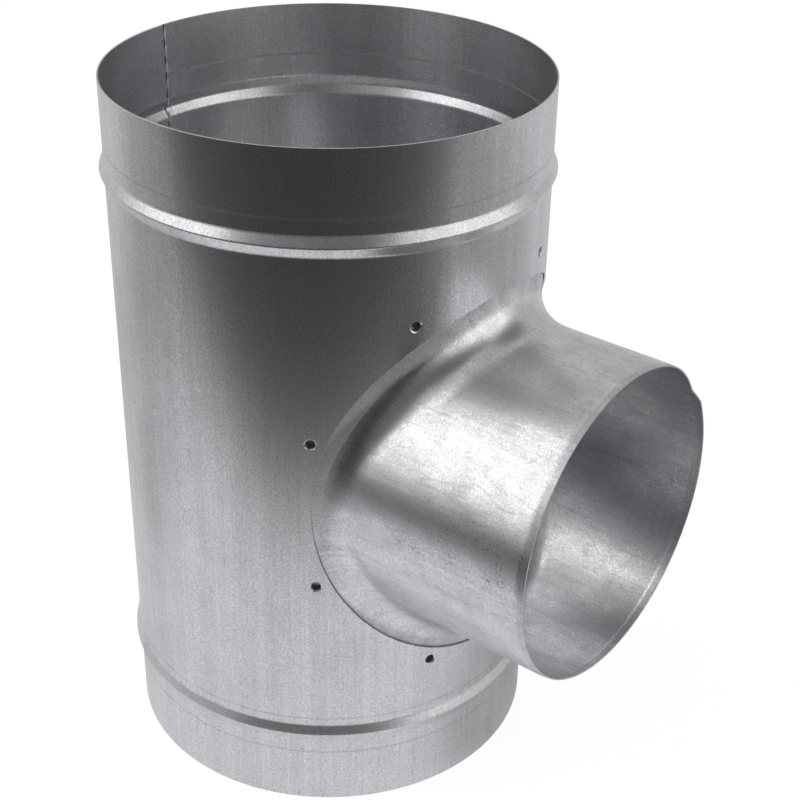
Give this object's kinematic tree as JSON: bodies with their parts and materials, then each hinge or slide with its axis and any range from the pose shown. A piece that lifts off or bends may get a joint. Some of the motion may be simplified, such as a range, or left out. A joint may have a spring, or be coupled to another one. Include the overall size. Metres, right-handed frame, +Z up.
{
  "type": "reducing duct tee",
  "caption": "Galvanised sheet duct fitting: a straight round pipe with a stop bead near each end and a smaller round branch drawn out at right angles from its side.",
  "frame": {"origin": "centre of the bottom rim of the main pipe, on the pipe's axis", "axes": "+Z up along the main pipe, +X along the branch"},
  "size_m": [0.199, 0.1524, 0.2483],
  "materials": {
    "pipe_sheet": "galvanised, bright rolled sheet",
    "collar_sheet": "galvanised, mottled drawn sheet"
  },
  "bodies": {
    "root": {"main_pipe": "pipe_sheet", "branch_collar": "collar_sheet"}
  },
  "joints": []
}
